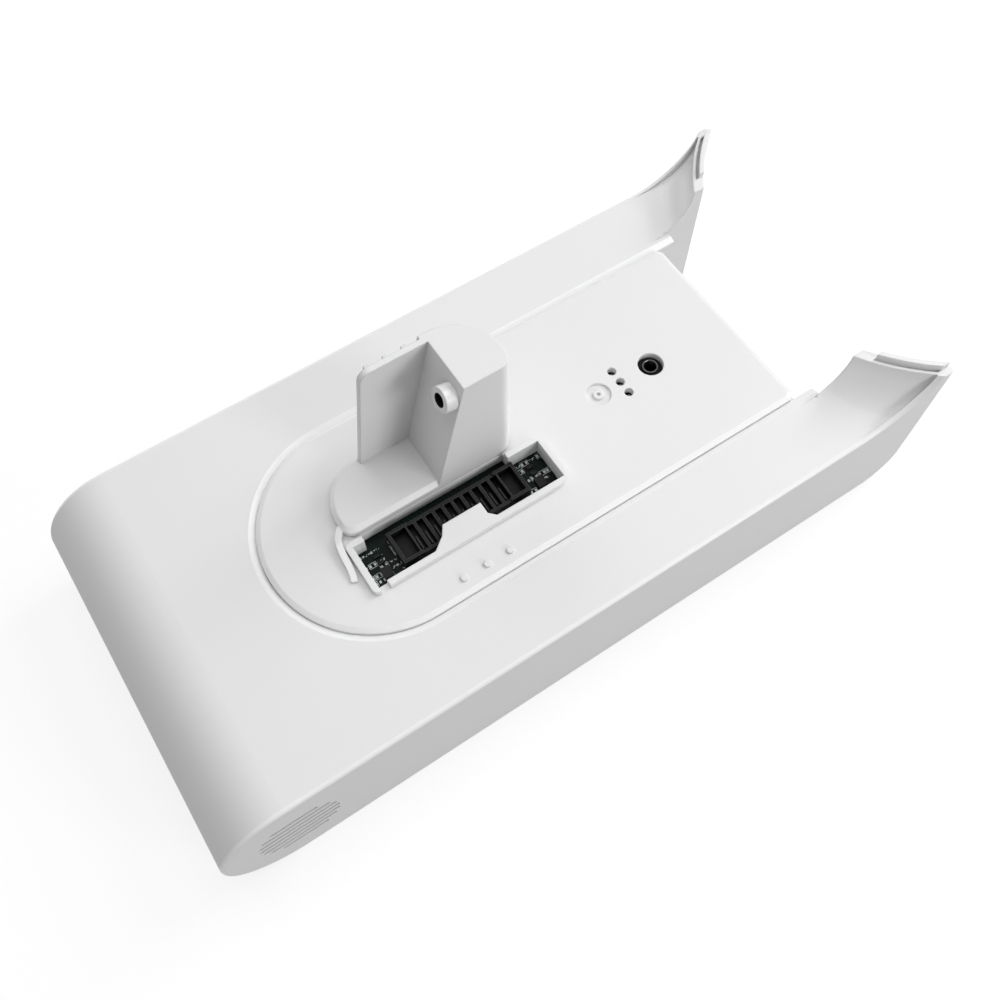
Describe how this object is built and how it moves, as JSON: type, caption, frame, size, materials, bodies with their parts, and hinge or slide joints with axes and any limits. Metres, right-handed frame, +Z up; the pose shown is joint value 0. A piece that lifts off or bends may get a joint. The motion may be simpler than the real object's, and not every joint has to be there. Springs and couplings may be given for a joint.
{
  "type": "vacuum battery pack",
  "caption": "Slim white cordless vacuum battery pack with a full-round nose, a raised deck with a plug slot and guide tower, and two wings that sweep up round the cleaner's body.",
  "frame": {"origin": "middle of the footprint, on the plane of the flat underside", "axes": "+X from the round nose to the wings, +Y to the tower's curved side, +Z up through the guide tower"},
  "size_m": [0.2, 0.094, 0.0738],
  "materials": {
    "white_shell": "moulded satin",
    "white_cover": "moulded satin",
    "white_deck": "moulded satin",
    "white_tower": "moulded satin",
    "green_laminate": "solder mask",
    "black_plug": "moulded matt",
    "plated_contact": "plated",
    "chip_black": "moulded matt",
    "capacitor_can": "drawn",
    "black_jack": "moulded matt",
    "plated_pin": "plated",
    "lamp_clear": "clear resin",
    "grey_holder": "moulded matt",
    "nickel": "rolled",
    "black_lead": "extruded",
    "red_lead": "extruded",
    "barley_paper": "pressed",
    "screw_steel": "zinc plated",
    "cell_wrap": "shrink sleeve"
  },
  "bodies": {
    "root": {"housing_shell": "white_shell", "base_cover": "white_cover", "deck_cover": "white_deck", "guide_tower": "white_tower", "circuit_board": "green_laminate", "connector_housing": "black_plug", "connector_contacts": "plated_contact", "board_parts": "chip_black", "power_transistors": "chip_black", "controller_chip": "chip_black", "capacitor": "capacitor_can", "jack_body": "black_jack", "jack_pin": "plated_pin", "status_leds": "lamp_clear", "cell_holder_near": "grey_holder", "cell_holder_far": "grey_holder", "negative_tab": "nickel", "positive_tab": "nickel", "negative_lead": "black_lead", "positive_lead": "red_lead", "insulation_sheet": "barley_paper", "board_screws": "screw_steel", "tower_screws": "screw_steel", "cell_1": "cell_wrap", "cell_2": "cell_wrap", "cell_3": "cell_wrap", "cell_4": "cell_wrap", "cell_5": "cell_wrap", "cell_6": "cell_wrap", "cell_7": "cell_wrap", "link_strip_1": "nickel", "link_strip_2": "nickel", "link_strip_3": "nickel", "link_strip_4": "nickel", "link_strip_5": "nickel", "link_strip_6": "nickel"}
  },
  "joints": []
}
